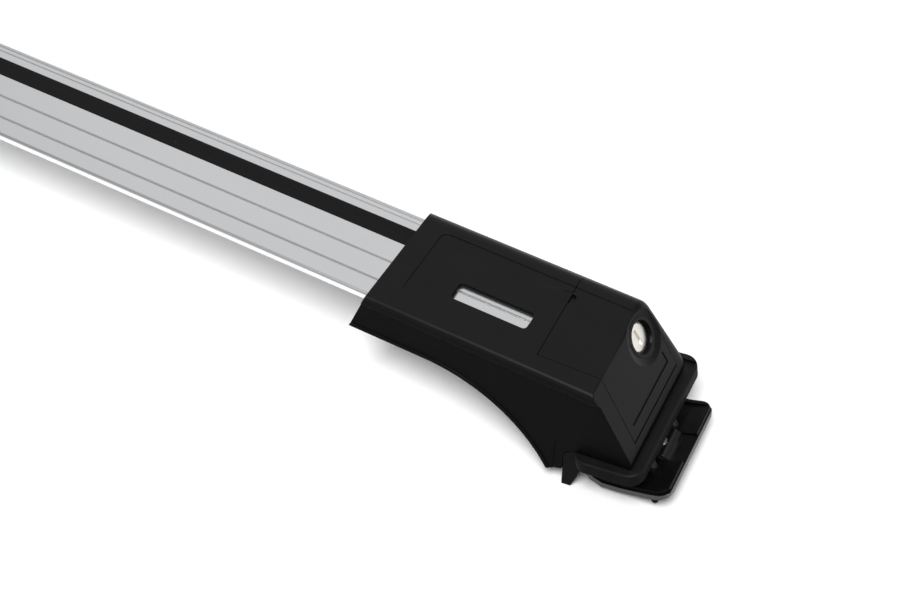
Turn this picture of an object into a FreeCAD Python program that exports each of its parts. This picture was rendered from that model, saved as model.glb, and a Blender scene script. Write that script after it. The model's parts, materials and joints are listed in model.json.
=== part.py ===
import FreeCAD, Part
import math
import os
import re
import Sketcher

# Lengths in mm closer than this count as equal
TOUCHING = 1e-5

doc = FreeCAD.newDocument("RoofCrossbar")
sheet = doc.addObject("Spreadsheet::Sheet", "Sizes")

# All sizes in millimetres and degrees. Heights of the foot are measured from the bar's top face,
# positions along the bar from the foot's inboard edge, cross positions from the foot's middle.
SIZES = {
    # Overall layout
    "bar_length": 990,
    "bar_top": 90,
    "bar_grip": 100,
    "rail_centre": 150,
    "toe_in": 3,
    "fold_x": 146.5,
    "fold_z": 3,
    "face_lean": 33.5,
    "seat_x": 134,
    "seat_z": -56,
    "seat_rise": 8.9,
    # Clearances
    "touch_gap": 0.02,
    "thread_gap": 0.05,
    "pin_gap": 0.15,
    "slip_gap": 0.3,
    "cover_gap": 0.4,
    "hole_gap": 0.5,
    # Bar extrusion
    "bar_back": 34.5,
    "bar_back_high": 3.6,
    "bar_back_low": 8.6,
    "bar_crown": 8,
    "bar_front_top": 35.7,
    "bar_front": 37.6,
    "bar_front_low": 13,
    "bar_depth": 23,
    "belly_front": 16,
    "belly_back": 14,
    "back_top_round": 2.4,
    "back_low_round": 2.2,
    "front_top_round": 6,
    "front_low_round": 7,
    "belly_round": 40,
    "skin": 2,
    "top_wall": 2.6,
    "nose_wall": 3.2,
    "belly_wall": 3,
    "back_cavity": 6,
    "back_cavity_top": 2.2,
    "back_cavity_low": 10.2,
    "slot_y": 14.95,
    "rebate_width": 13.3,
    "rebate_depth": 1,
    "mouth_width": 11,
    "lip_depth": 2.6,
    "channel_width": 19,
    "channel_depth": 10,
    "belly_mouth": 9,
    "belly_channel": 16,
    "belly_channel_top": 15,
    "vee_width": 1.6,
    "vee_depth": 1,
    "vee_near": -21.8,
    "vee_mid": -6.8,
    "fine_width": 0.8,
    "fine_depth": 0.5,
    "fine_front": 30.6,
    "fine_back": 27.2,
    "sight_x": 64.6,
    "sight_y": -9.4,
    "sight_round": 0.6,
    "sight_depth": 1,
    # Slot strip
    "strip_inset": 0.5,
    "strip_width": 12.7,
    "strip_crown": 0.3,
    "strip_flat": 9,
    "strip_neck": 10.4,
    "strip_barb": 12.6,
    "strip_barb_top": 2.8,
    "strip_barb_low": 4,
    # Bar plug
    "plug_plate": 2.5,
    "plug_prong": 10,
    "prong_nose": 6,
    "prong_top": 6,
    "prong_back": 8,
    # Housing section
    "back_foot": 45.8,
    "shoulder": 39.3,
    "shoulder_drop": 8.5,
    "ridge": 40.9,
    "ridge_drop": 5.5,
    "ridge_low_round": 2,
    "ridge_top_round": 3.4,
    "top_back": 1.4,
    "top_front": 3.6,
    "front_top": 41.8,
    "front_foot": 49.5,
    "headroom": 6,
    "far_top_round": 12,
    "far_end_round": 7,
    "fold_round": 1,
    "side_floor": 82,
    "wall": 3,
    "ceiling": 2,
    "end_wall": 4.4,
    # Housing side view
    "rake_foot": 12.3,
    "rake": 0.376,
    "inboard_wall": 4.4,
    "skirt_end": 41,
    "skirt_drop": 29.8,
    "arch_round": 100,
    "tip_x": 126.5,
    "tip_z": -78,
    "tip_rise": 24.4,
    "end_foot_round": 5,
    "seat_corner_round": 6.5,
    "bead_width": 2.2,
    "bead_height": 0.8,
    "brow_x": 128,
    "brow_z": -43,
    "brow_end": 170,
    "brow_end_z": -45,
    "brow_round": 11,
    "brow_depth": 0.4,
    "step_x": 106,
    "step_z": -3.2,
    # Panel, window and finger scoop in the housing's top
    "panel_start": 15.3,
    "panel_near": 25,
    "panel_far": 27,
    "panel_depth": 0.5,
    "panel_round": 5,
    "window_start": 43.7,
    "window_end": 94,
    "window_near": 15.5,
    "window_far": 2.5,
    "window_round": 2.5,
    "scoop_start": 91,
    "scoop_start_y": 19.5,
    "scoop_end": 107.8,
    "scoop_near": 14.3,
    "scoop_far": 24.3,
    "scoop_depth": 1.4,
    "notch_end": 110.6,
    "notch_near": 16.3,
    "notch_far": 23.6,
    "notch_floor": 0.6,
    "notch_round": 2,
    # End cover
    "cover_start": 107.5,
    "cover_near_top": 26.2,
    "cover_near_low": 32,
    "cover_low_z": -42,
    "cover_far_top": 37,
    "cover_far_low": 33,
    "cover_plate": 2.4,
    "cover_under": -0.7,
    "ledge_gap": 0.2,
    "ledge": 3,
    "ledge_far": 0.9,
    "hinge_down": 48.6,
    "hinge_inset": 0.3,
    "hinge_pin": 0.8,
    "hinge_pin_length": 2.4,
    "opening_down": 43.5,
    "groove_width": 1.6,
    "groove_depth": 0.6,
    "groove_down": 40.5,
    "groove_up": 33.5,
    "groove_near": 25,
    "groove_far": 28.6,
    # Lock
    "lock_down": 15,
    "lock_y": 21.5,
    "lock_hole": 10.4,
    "dish_round": 17.4,
    "dish_depth": 3,
    "boss_round": 12.5,
    "boss_face": -5.2,
    "lock_round": 10,
    "lock_back": -18,
    "flange_plate": 2.4,
    "ear_reach": 13.2,
    "ear_round": 3.5,
    "ear_margin": 1,
    "ear_turn": 135,
    "lock_bore": 6.15,
    "core_round": 6,
    "core_face": -4.2,
    "core_plate": 1,
    "core_head": 8.4,
    "core_back": -18.3,
    "core_square": 5,
    "key_width": 2.2,
    "key_length": 10.8,
    "key_depth": 1.5,
    "tongue_plate": 2.2,
    "tongue_width": 7,
    "tongue_reach": 15,
    "tongue_screw_head": 3.5,
    "tongue_screw": 1.5,
    "tongue_screw_end": -12,
    "lock_screw_head": 2.6,
    "lock_screw": 1.5,
    "lock_screw_end": -3.6,
    "small_head": 2,
    "catch_y": 33,
    "catch_end": 41,
    "catch_back": -17.8,
    "catch_front": -15,
    "catch_half": 6,
    # Carriage
    "saddle_start": 42,
    "saddle_end": 130,
    "saddle_half": 16,
    "saddle_top": -23.3,
    "saddle_low": -28.8,
    "web_in": 9,
    "web_out": 13.5,
    "web_start": 98,
    "web_top": -24,
    "web_bend": 126,
    "web_mid_x": 150,
    "web_mid_z": -32,
    "web_end": 166,
    "web_end_top": -43.5,
    "web_end_low": -47,
    "web_foot_x": 136.5,
    "web_foot_z": -50,
    "web_knee_x": 120,
    "web_knee_z": -38,
    "base_start": 2.5,
    "base_end": 38.6,
    "base_end_top": 34.3,
    "base_half": 38,
    "base_plate": 7,
    "bolt_out": -13,
    "bolt_boss_half": 11,
    "bolt_boss_top": 26,
    "guide_boss_half": 24,
    "guide_boss_top": 38,
    "boss_low": 50.5,
    "boss_out_low": -24,
    "boss_out_high": -5,
    "leg_start": 136.3,
    "leg_end": 142.3,
    "leg_top": -50,
    "leg_low": -77,
    # Rail boot
    "boot_start": 7,
    "boot_end": 51.5,
    "boot_half": 50.5,
    "boot_under": 6.5,
    "boot_lip": 3,
    "boot_round": 10,
    "boot_edge_round": 1.2,
    "gutter_end": 3.8,
    "gutter_side": 1.3,
    "gutter_floor": 0.3,
    "hook_start": 134.4,
    "hook_half": 42.8,
    "hook_tip": -90,
    "hook_tip_rise": 1,
    "hook_tip_x": 140,
    "hook_low_x": 143,
    "hook_low_z": -80,
    "hook_mid_x": 145,
    "hook_mid_z": -72,
    "hook_root_x": 149.5,
    "hook_root_z": -59,
    "grip_width": 1.6,
    "grip_depth": 1,
    "grip_count": 5,
    "grip_start": 19,
    "grip_pitch": 6,
    "grip_half": 46,
    # Clamp bolt, washer and barrel nut
    "bolt_round": 4,
    "bolt_head": 6.5,
    "bolt_head_top": 16.4,
    "bolt_head_low": 24.4,
    "bolt_end": 99.5,
    "bolt_hole": 4.5,
    "boot_bolt_hole": 6,
    "socket_flats": 6,
    "socket_depth": 4,
    "washer_round": 8,
    "nut_down": 88.5,
    "barrel_round": 5.9,
    "barrel_half": 11,
    # Guide pins
    "pin_y": 17,
    "pin_round": 3,
    "pin_top": 40,
    "pin_end": 90,
    "boot_pin_hole": 4.6,
    "pad_pin_hole": 3.6,
    # Clamp jaw and pad
    "jaw_half": 38,
    "jaw_round": 8,
    "jaw_boss": 8,
    "lip_x": 147,
    "lip_low": -77.6,
    "lip_top_x": 149.5,
    "lip_top": -75.4,
    "toe_x": 150.5,
    "toe_low": -81.6,
    "toe_top_x": 152.5,
    "toe_top": -78.4,
    "sole_x": 158.6,
    "sole_low": -85,
    "sole_top": -80.6,
    "mid_x": 170,
    "mid_low": -83.2,
    "mid_top": -78.8,
    "heel_x": 187.5,
    "heel_low": -78.5,
    "heel_top": -73.9,
    "tail_x": 201,
    "tail_low": -72.6,
    "tail_top_x": 200,
    "tail_top": -69,
    "pad_plate": 3,
    "pad_inset": 0.8,
    "pad_start": 154.5,
    "pad_end": 199.5,
    "pad_lean": 1,
    "pad_rim": 2.5,
    "pad_rim_depth": 1.4,
    "stud_round": 2.2,
    "stud_y": 33,
    "stud_in": 157.5,
    "stud_in_top": -79,
    "stud_in_low": -88,
    "stud_out": 191,
    "stud_out_top": -71.5,
    "stud_out_low": -84,
    # Fastening of bar and housing
    "bar_screw_in": 52,
    "bar_screw_out": 76,
    "bar_screw": 3,
    "bar_screw_head": 5.25,
    "bar_screw_head_height": 3.3,
    "bar_screw_top": -16.8,
    "nut_start": 44,
    "nut_end": 84,
    "nut_half": 7.4,
    "nut_low": -20.7,
    "nut_top": -16.5,
    "post_start": 4,
    "post_end": 30,
    "post_in": 29.5,
    "post_out": 46,
    "post_low": 7.2,
    "post_top": 17,
    "shell_screw_in": 8,
    "shell_screw_out": 26,
    "shell_screw_y": 33.3,
    "shell_screw": 2,
    "shell_screw_head": 3.4,
    "shell_screw_seat": 3,
    "shell_screw_head_low": 0.4,
    "shell_screw_top": 15,
}

for row, (word, number) in enumerate(SIZES.items(), 1):
    sheet.set("A%d" % row, word)
    sheet.set("B%d" % row, str(number))
    sheet.setAlias("B%d" % row, word)
doc.recompute()


def bound(text):
    """The expression with every size word pointed at its cell in the sheet."""
    return re.sub(r"[a-z]\w*", lambda m: "Sizes." + m[0] if m[0] in SIZES else m[0], str(text))


def value(text):
    """The number that an expression of size words gives now."""
    return float(sheet.evalExpression(bound(text)))


def spot(x, y, z):
    """A point from three expressions."""
    return FreeCAD.Vector(value(x), value(y), value(z))


def frame(x, y, z, axis=(0, 0, 1), turn=0):
    """A frame at a point, turned about one axis."""
    return FreeCAD.Placement(spot(x, y, z), FreeCAD.Rotation(FreeCAD.Vector(*axis), value(turn)))


# Frames: the bar's own, the foot square to the bar, the foot square to the toed-in rail, the
# leaning end face, the sloping rail seat, the tilted top face, and the lock on the end face.
BAR = frame(0, 0, "bar_top")
FOOT_START = "(bar_length / 2 - bar_grip)"
FOOT = frame(FOOT_START, 0, "bar_top")
TOE = frame(FOOT_START + " + rail_centre", 0, "bar_top", turn="toe_in")
RAIL = TOE.multiply(frame("-rail_centre", 0, 0))
FACE = RAIL.multiply(frame("fold_x", 0, "fold_z", axis=(0, 1, 0), turn="90 - face_lean"))
SEAT = RAIL.multiply(frame("seat_x", 0, "seat_z", axis=(0, 1, 0), turn="-seat_rise"))
LOCK = FACE.multiply(frame("lock_down", "lock_y", 0))
BOLT = FACE.multiply(frame(0, 0, "bolt_out"))
TOP_SLOPE = "(top_front - top_back) / (ridge + front_top)"
TOP_MIDDLE = "top_back + ridge * " + TOP_SLOPE
TOP = FOOT.multiply(frame(0, 0, TOP_MIDDLE, axis=(1, 0, 0), turn="atan(%s)" % TOP_SLOPE))
FAR = 60
BEYOND = 250


def face_point(down, out):
    """Rail-frame x and z of a point so far down the end face and so far out of it."""
    x = "fold_x + (%s) * sin(face_lean) + (%s) * cos(face_lean)" % (down, out)
    z = "fold_z - (%s) * cos(face_lean) + (%s) * sin(face_lean)" % (down, out)
    return x, z


def crown(y):
    """Height of the bar's sloping top face behind the crown."""
    return "-bar_back_high * (bar_crown - (%s)) / (bar_crown + bar_back)" % y


def outline(sketch, corners):
    """Draw one closed outline whose every corner is held by two dimensions."""
    points = [spot(a, b, 0) for a, b in corners]
    first = sketch.GeometryCount
    count = len(points)
    for i in range(count):
        sketch.addGeometry(Part.LineSegment(points[i], points[(i + 1) % count]))
    for i in range(count):
        last = first + (i - 1) % count
        sketch.addConstraint(Sketcher.Constraint("Coincident", last, 2, first + i, 1))
    for i, corner in enumerate(corners):
        for kind, text, number in zip(("DistanceX", "DistanceY"), corner, points[i][:2]):
            held = sketch.addConstraint(Sketcher.Constraint(kind, -1, 1, first + i, 1, number))
            sketch.setExpression("Constraints[%d]" % held, bound(text))


def drawing(body, plane, loops, offset):
    """A sketch of closed outlines on one of the body's origin planes, moved along its normal."""
    sketch = body.newObject("Sketcher::SketchObject", body.Name + "_outline")
    support = [f for f in body.Origin.OriginFeatures if f.Role == plane + "_Plane"][0]
    sketch.AttachmentSupport = [(support, "")]
    sketch.MapMode = "FlatFace"
    for corners in loops:
        outline(sketch, corners)
    sketch.setExpression(".AttachmentOffset.Base.z", bound(offset))
    return sketch


def long_edges(shape, plane, points):
    """Names of the edges that run along the plane's normal through the given points."""
    first, second = {"XZ": (0, 2), "YZ": (1, 2), "XY": (0, 1)}[plane]
    found = []
    for number, edge in enumerate(shape.Edges, 1):
        a, b = edge.Vertexes[0].Point, edge.Vertexes[-1].Point
        upright = abs(a[first] - b[first]) < TOUCHING and abs(a[second] - b[second]) < TOUCHING
        for x, y in points:
            if upright and math.hypot(a[first] - x, a[second] - y) < TOUCHING:
                found.append("Edge%d" % number)
    return found


def rim_edges(shape, plane):
    """Names of the edges round both end faces of a pad."""
    normal = {"XZ": 1, "YZ": 0, "XY": 2}[plane]
    spans = [[corner.Point[normal] for corner in edge.Vertexes] for edge in shape.Edges]
    return ["Edge%d" % number for number, span in enumerate(spans, 1) if max(span) - min(span) < TOUCHING]


def prism(name, plane, corners, low, high, place, rounds=None, rim=None):
    """An outline padded from low to high along its plane's axis, with chosen edges rounded."""
    body = doc.addObject("PartDesign::Body", name)
    start = "-(%s)" % high if plane == "XZ" else low
    pad = body.newObject("PartDesign::Pad", name + "_pad")
    pad.Profile = drawing(body, plane, [corners], start)
    pad.setExpression("Length", bound("(%s) - (%s)" % (high, low)))
    body.Tip = pad
    doc.recompute()
    by_radius = {}
    for corner, radius in (rounds or {}).items():
        by_radius.setdefault(radius, []).append(corners[corner])
    for radius, places in by_radius.items():
        points = [(value(a), value(b)) for a, b in places]
        sharp = body.Tip
        rounding = body.newObject("PartDesign::Fillet", name + "_round")
        rounding.Base = (sharp, long_edges(sharp.Shape, plane, points))
        rounding.setExpression("Radius", bound(radius))
        body.Tip = rounding
        doc.recompute()
    if rim:
        sharp = body.Tip
        rounding = body.newObject("PartDesign::Fillet", name + "_rim")
        rounding.Base = (sharp, rim_edges(sharp.Shape, plane))
        rounding.setExpression("Radius", bound(rim))
        body.Tip = rounding
        doc.recompute()
    body.Placement = place
    return body


def block(name, x, y, z, place):
    """A rectangular block given by its low and high values along the three axes."""
    corners = [(x[0], z[0]), (x[1], z[0]), (x[1], z[1]), (x[0], z[1])]
    return prism(name, "XZ", corners, y[0], y[1], place)


TURNS = {"X": ((0, 1, 0), 90), "Y": ((1, 0, 0), -90), "Z": ((0, 0, 1), 0)}


def cylinder(name, radius, axis, low, high, centre, place):
    """A round bar along one axis; the centre is its two other coordinates in order."""
    rod = doc.addObject("Part::Cylinder", name)
    rod.setExpression("Radius", bound(radius))
    rod.setExpression("Height", bound("(%s) - (%s)" % (high, low)))
    at = list(centre)
    at.insert("XYZ".index(axis), low)
    rod.Placement = place.multiply(frame(*at, axis=TURNS[axis][0], turn=TURNS[axis][1]))
    return rod


def fuse(name, *pieces):
    """One solid from several."""
    joined = doc.addObject("Part::MultiFuse", name)
    joined.Shapes = list(pieces)
    joined.Refine = True
    return joined


def common(name, *pieces):
    """What several solids share."""
    shared = doc.addObject("Part::MultiCommon", name)
    shared.Shapes = list(pieces)
    shared.Refine = True
    return shared


def cut(name, base, *tools):
    """The base with every tool taken away."""
    less = doc.addObject("Part::Cut", name)
    less.Base = base
    less.Tool = tools[0] if len(tools) == 1 else fuse(name + "_tools", *tools)
    less.Refine = True
    return less


def group(name, *pieces):
    """Alike loose solids kept together as one piece."""
    held = doc.addObject("Part::Compound", name)
    held.Links = list(pieces)
    return held


# The bar: an extruded aluminium wing with a slot above and a channel below
def wing(grow):
    """Corners of the bar's outer outline, and the roundings they take."""
    corners = [
        ("-bar_back - %s" % grow, "-bar_back_high + %s" % grow),
        ("bar_crown", grow),
        ("bar_front_top + %s" % grow, grow),
        ("bar_front + %s" % grow, "-bar_front_low"),
        ("belly_front", "-bar_depth - %s" % grow),
        ("-belly_back", "-bar_depth - %s" % grow),
        ("-bar_back - %s" % grow, "-bar_back_low - %s" % grow),
    ]
    rounds = {0: "back_top_round", 2: "front_top_round", 3: "front_low_round"}
    rounds.update({4: "belly_round", 5: "belly_round", 6: "back_low_round"})
    return corners, rounds


def slot_corners():
    """Corners of the accessory slot, half a side at a time."""
    half = [
        ("rebate_width / 2", "skin"),
        ("rebate_width / 2", "-rebate_depth"),
        ("mouth_width / 2", "-rebate_depth"),
        ("mouth_width / 2", "-lip_depth"),
        ("channel_width / 2", "-lip_depth"),
        ("channel_width / 2", "-channel_depth"),
    ]
    front = [("slot_y + %s" % a, b) for a, b in half]
    back = [("slot_y - %s" % a, b) for a, b in half]
    return front + back[::-1]


def belly_corners():
    """Corners of the clamping channel in the bar's underside."""
    half = [
        ("belly_mouth / 2", "-bar_depth - skin"),
        ("belly_mouth / 2", "-bar_depth + skin"),
        ("belly_channel / 2", "-bar_depth + skin"),
        ("belly_channel / 2", "-belly_channel_top"),
    ]
    return half + [("-" + a, b) for a, b in half[::-1]]


def cavity_corners():
    """Corners of the hollow behind the leading nose and of the one behind the trailing nose."""
    side = "belly_channel / 2 + skin"
    front = [
        ("slot_y + channel_width / 2 + skin", "-skin"),
        ("bar_front_top - skin", "-skin"),
        ("bar_front - nose_wall", "-bar_front_low + skin / 2"),
        ("belly_front", "-bar_depth + skin"),
        (side, "-bar_depth + skin"),
        (side, "-channel_depth - skin"),
        ("slot_y + channel_width / 2 + skin", "-channel_depth - skin"),
    ]
    wall = "slot_y - channel_width / 2 - skin"
    back = [
        (wall, "-top_wall"),
        ("-bar_back + back_cavity", "%s - back_cavity_top" % crown("-bar_back + back_cavity")),
        ("-bar_back + back_cavity", "-back_cavity_low"),
        ("-belly_back", "-bar_depth + belly_wall"),
        ("-(%s)" % side, "-bar_depth + belly_wall"),
        ("-(%s)" % side, "-belly_channel_top + skin"),
        (wall, "-belly_channel_top + skin"),
    ]
    return front, back


def vee_corners(y, width, depth, height):
    """Corners of a small vee groove cut into the top face at one cross position."""
    return [
        ("%s - %s / 2" % (y, width), height),
        (y, "%s - %s" % (height, depth)),
        ("%s + %s / 2" % (y, width), height),
        (y, "%s + %s" % (height, width)),
    ]


def crossbar():
    """The bar, with a small sight mark that shows in each housing's window."""
    corners, rounds = wing("0")
    body = prism("bar_blank", "YZ", corners, "-bar_length / 2", "bar_length / 2", BAR, rounds)
    front, back = cavity_corners()
    loops = [slot_corners(), belly_corners(), front, back]
    loops += [vee_corners(y, "vee_width", "vee_depth", crown(y)) for y in ("vee_near", "vee_mid")]
    loops += [vee_corners(y, "fine_width", "fine_depth", "0") for y in ("fine_back", "fine_front")]
    pocket = body.newObject("PartDesign::Pocket", "bar_openings")
    pocket.Profile = drawing(body, "YZ", loops, "bar_length / 2")
    pocket.setExpression("Length", bound("bar_length"))
    body.Tip = pocket
    marks = []
    for side in ("", "-"):
        at = (side + "(%s + sight_x)" % FOOT_START, "sight_y")
        floor = crown("sight_y") + " - sight_depth"
        marks.append(cylinder("sight_mark", "sight_round", "Z", floor, 0, at, BAR))
    return cut("crossbar", body, *marks)


def slot_strip():
    """The rubber strip that closes the accessory slot."""
    half = [
        ("strip_flat / 2", "strip_crown"),
        ("strip_width / 2", "0"),
        ("strip_width / 2", "-rebate_depth"),
        ("strip_neck / 2", "-rebate_depth"),
        ("strip_neck / 2", "-strip_barb_top"),
        ("strip_barb / 2", "-(strip_barb_top + strip_barb_low) / 2"),
        ("strip_neck / 2", "-strip_barb_low"),
    ]
    corners = [("slot_y + " + a, b) for a, b in half] + [("slot_y - " + a, b) for a, b in half[::-1]]
    end = "(bar_length / 2 - strip_inset)"
    return prism("slot_strip", "YZ", corners, "-" + end, end, BAR)


def bar_plug():
    """The plug that closes the hollow bar, with a prong in each cavity."""
    corners, rounds = wing("-slip_gap")
    end = "bar_length / 2"
    plate = prism("plug_plate", "YZ", corners, end, end + " + plug_plate", BAR, rounds)
    side = "belly_channel / 2 + skin + slip_gap"
    front = [
        (side, "-channel_depth - skin - slip_gap"),
        ("bar_front - prong_nose", "-channel_depth - skin - slip_gap"),
        ("belly_front", "-bar_depth + skin + slip_gap"),
        (side, "-bar_depth + skin + slip_gap"),
    ]
    wall = "slot_y - channel_width / 2 - skin - slip_gap"
    back = [
        (wall, "-prong_top"),
        ("-bar_back + prong_back", "-prong_top"),
        ("-bar_back + prong_back + skin", "-belly_channel_top + skin + slip_gap"),
        (wall, "-belly_channel_top + skin + slip_gap"),
    ]
    start = end + " - plug_prong"
    prongs = [prism("plug_prong", "YZ", shape, start, end, BAR) for shape in (front, back)]
    return fuse("bar_plug", plate, *prongs)


# The foot's outer form, shared by the housing, the end cover and the boot's tray
def section_block(name, grow, rounded):
    """The cross section of the housing run along the bar, grown all round."""
    corners = [
        ("-back_foot - %s" % grow, "-side_floor - wall"),
        ("-shoulder - %s" % grow, "-shoulder_drop"),
        ("-ridge - %s" % grow, "-ridge_drop"),
        ("-ridge - %s" % grow, "top_back + %s" % grow),
        ("front_top + %s" % grow, "top_front + %s" % grow),
        ("front_foot + %s" % grow, "-side_floor - wall"),
    ]
    rounds = {2: "ridge_low_round", 3: "ridge_top_round"} if rounded else None
    return prism(name, "YZ", corners, -FAR, BEYOND, FOOT, rounds)


def skirt_block(name, inset):
    """The side view square to the bar: raked inboard end, skirt edge, arch and tip."""
    tip = "tip_z + (%s - tip_x) * tan(tip_rise)"
    corners = [
        ("-rake_foot + rake * (skirt_drop + headroom)", "headroom"),
        ("-rake_foot", "-skirt_drop + %s" % inset),
        ("skirt_end", "-skirt_drop + %s" % inset),
        ("skirt_end", tip % "skirt_end"),
        (BEYOND, tip % BEYOND),
        (BEYOND, "headroom"),
    ]
    side = prism(name + "_side", "XZ", corners, -FAR, FAR, FOOT)
    centre = ("skirt_end", "-skirt_drop - arch_round")
    arch = cylinder(name + "_arch", "arch_round + %s" % inset, "Y", -FAR, FAR, centre, FOOT)
    return cut(name, side, arch)


def end_block(name, grow):
    """The side view square to the rail: leaning end face, seat line and upright above the hook."""
    slope = "tan(seat_rise)"
    seat = "seat_z + slip_gap / cos(seat_rise) - %s / cos(seat_rise)" % grow
    upright = "seat_x + %s" % grow
    meet = "(fold_z - seat_z - slip_gap - (fold_x - seat_x) * %s)" % slope
    down = "%s / (cos(face_lean) + sin(face_lean) * %s) + %s" % (meet, slope, grow)
    top = "-headroom / cos(face_lean)"
    corners = [
        (-FAR, face_point(top, grow)[1]),
        (-FAR, -2 * FAR),
        (upright, -2 * FAR),
        (upright, "%s + (%s) * %s" % (seat, grow, slope)),
        face_point(down, grow),
        face_point(top, grow),
    ]
    return prism(name, "XZ", corners, -FAR, FAR, RAIL, {3: "seat_corner_round", 4: "end_foot_round"})


def brow():
    """The skin taken off the side walls above the hook, which leaves a fine step round it."""
    side = [("brow_x", "-side_floor"), ("brow_x", "brow_z")]
    side += [("brow_end", "brow_end_z"), ("brow_end", "-side_floor")]
    band = prism("brow_band", "XZ", side, -FAR, FAR, RAIL, {1: "brow_round"})
    return cut("brow", band, section_block("brow_section", "-brow_depth", False))


def lock_dish():
    """The shallow round dish in the cover about the lock."""
    ball = doc.addObject("Part::Sphere", "dish")
    radius = "(dish_round ^ 2 + dish_depth ^ 2) / (2 * dish_depth)"
    ball.setExpression("Radius", bound(radius))
    ball.Placement = LOCK.multiply(frame(0, 0, "%s - dish_depth" % radius))
    return ball


def softened(sharp):
    """The form with its far shoulder and far end corner rounded, and the fold less and less so."""
    doc.recompute()
    to_foot, to_face, to_top = FOOT.inverse(), FACE.inverse(), TOP.inverse()
    far_end, near_end = value("far_end_round"), value("fold_round")
    radii = []
    for number, edge in enumerate(sharp.Shape.Edges, 1):
        ends = [corner.Point for corner in edge.Vertexes]
        far = all(to_foot.multVec(point).y > value("front_top") - TOUCHING for point in ends)
        on_end = all(abs(to_face.multVec(point).z) < TOUCHING for point in ends)
        on_top = all(abs(to_top.multVec(point).z) < TOUCHING for point in ends)
        if far and on_top:
            radii.append((number, value("far_top_round"), value("far_top_round")))
        elif far and on_end:
            radii.append((number, far_end, far_end))
        elif on_end and on_top:
            far_first = ends[0].y > ends[-1].y
            radii.append((number, far_end, near_end) if far_first else (number, near_end, far_end))
    rounding = doc.addObject("Part::Fillet", "form_softened")
    rounding.Base = sharp
    rounding.Edges = radii
    return rounding


def foot_form():
    """The whole outer form of the foot with its panel and dish, before it is split and hollowed."""
    end = end_block("form_end", "0")
    skirt = skirt_block("form_skirt", "0")
    body = softened(common("form_body", section_block("form_section", "0", True), skirt, end))
    edge = cut("bead_band", skirt, skirt_block("bead_inset", "bead_width"))
    bead = common("bead", section_block("bead_section", "bead_height", False), edge, end)
    panel = [("panel_start", "-panel_near"), (BEYOND, "-panel_near")]
    panel += [(BEYOND, "panel_far"), ("panel_start", "panel_far")]
    rounds = {0: "panel_round", 3: "panel_round"}
    recess = prism("panel", "XY", panel, "-panel_depth", "headroom", TOP, rounds)
    return cut("form", fuse("form_beaded", body, bead), recess, brow(), lock_dish())


def cover_band(name, gap):
    """The strip of the foot's form that the end cover takes, from its top edge to its hinge."""
    start = "cover_start - %s" % gap
    under = "cover_under - %s" % gap
    plate = "-cover_plate - %s" % gap
    knee = "(fold_z + (%s) * sin(face_lean) - (%s)) / cos(face_lean)" % (plate, under)
    corners = [
        (start, "2 * headroom"),
        (start, under),
        face_point(knee, plate),
        face_point("hinge_down", plate),
        face_point("hinge_down", "headroom"),
        (face_point("0", "3 * headroom")[0], "2 * headroom"),
    ]
    return prism(name, "XZ", corners, -FAR, FAR, RAIL)


def cover_width(name, near, far):
    """The cover seen along the bar, with its near and far edges moved out."""
    corners = [
        ("-cover_near_top - (%s)" % near, "2 * headroom"),
        ("-cover_near_top - (%s)" % near, "fold_z"),
        ("-cover_near_low - (%s)" % near, "cover_low_z"),
        ("-cover_near_low - (%s)" % near, "-side_floor"),
        ("cover_far_low + %s" % far, "-side_floor"),
        ("cover_far_low + %s" % far, "cover_low_z"),
        ("cover_far_top + %s" % far, "fold_z"),
        ("cover_far_top + %s" % far, "2 * headroom"),
    ]
    return prism(name, "YZ", corners, 0, BEYOND, RAIL)


HINGE_NEAR = "(-cover_near_low + hinge_inset)"


def hinge_rod(name, radius, low, high):
    """A round rod on the cover's hinge line."""
    return cylinder(name, radius, "Y", low, high, ("hinge_down", "-cover_plate / 2"), FACE)


def opening_block(name, near, far, gap):
    """The service opening that the cover hides, over the bolt head and the lock."""
    corners = [
        ("cover_start + ledge + %s" % gap, "2 * headroom"),
        ("cover_start + ledge + %s" % gap, "2 * step_z"),
        face_point("opening_down - %s" % gap, "-2 * end_wall"),
        face_point("opening_down - %s" % gap, "headroom"),
        (face_point("0", "3 * headroom")[0], "2 * headroom"),
    ]
    slab = prism(name + "_slab", "XZ", corners, -FAR, FAR, RAIL)
    return common(name, slab, cover_width(name + "_width", near, far))


def hollow():
    """The space inside the housing."""
    floor = "-side_floor - 2 * wall"
    near, far = "-shoulder + wall", "front_top - wall"
    section = [
        ("-back_foot + wall", floor),
        (near, "-shoulder_drop"),
        (near, "top_back - ceiling"),
        (far, "top_front - ceiling"),
        ("front_foot - wall", floor),
    ]
    across = prism("hollow_section", "YZ", section, -FAR, BEYOND, FOOT, {3: "far_top_round - wall"})
    side = [
        ("-rake_foot + inboard_wall + rake * (skirt_drop + headroom)", "headroom"),
        ("-rake_foot + inboard_wall - rake * (2 * side_floor - skirt_drop)", "-2 * side_floor"),
        (BEYOND, "-2 * side_floor"),
        (BEYOND, "headroom"),
    ]
    along = prism("hollow_side", "XZ", side, -FAR, FAR, FOOT)
    knee = "(fold_z - end_wall * sin(face_lean) - step_z) / cos(face_lean)"
    end = [
        (-FAR, "headroom"),
        ("step_x", "headroom"),
        ("step_x", "step_z"),
        face_point(knee, "-end_wall"),
        face_point("side_floor - wall", "-end_wall"),
        ("seat_x - wall", "seat_z - slip_gap"),
        ("seat_x - wall", "-2 * side_floor"),
        (-FAR, "-2 * side_floor"),
    ]
    return common("hollow", across, along, prism("hollow_end", "XZ", end, -FAR, FAR, RAIL))


def window():
    """The window in the panel through which the bar shows."""
    corners = [("window_start", "-window_near"), ("window_end", "-window_near")]
    corners += [("window_end", "-window_far"), ("window_start", "-window_far")]
    rounds = {i: "window_round" for i in range(4)}
    return prism("window", "XY", corners, "-headroom", "headroom", TOP, rounds)


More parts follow.
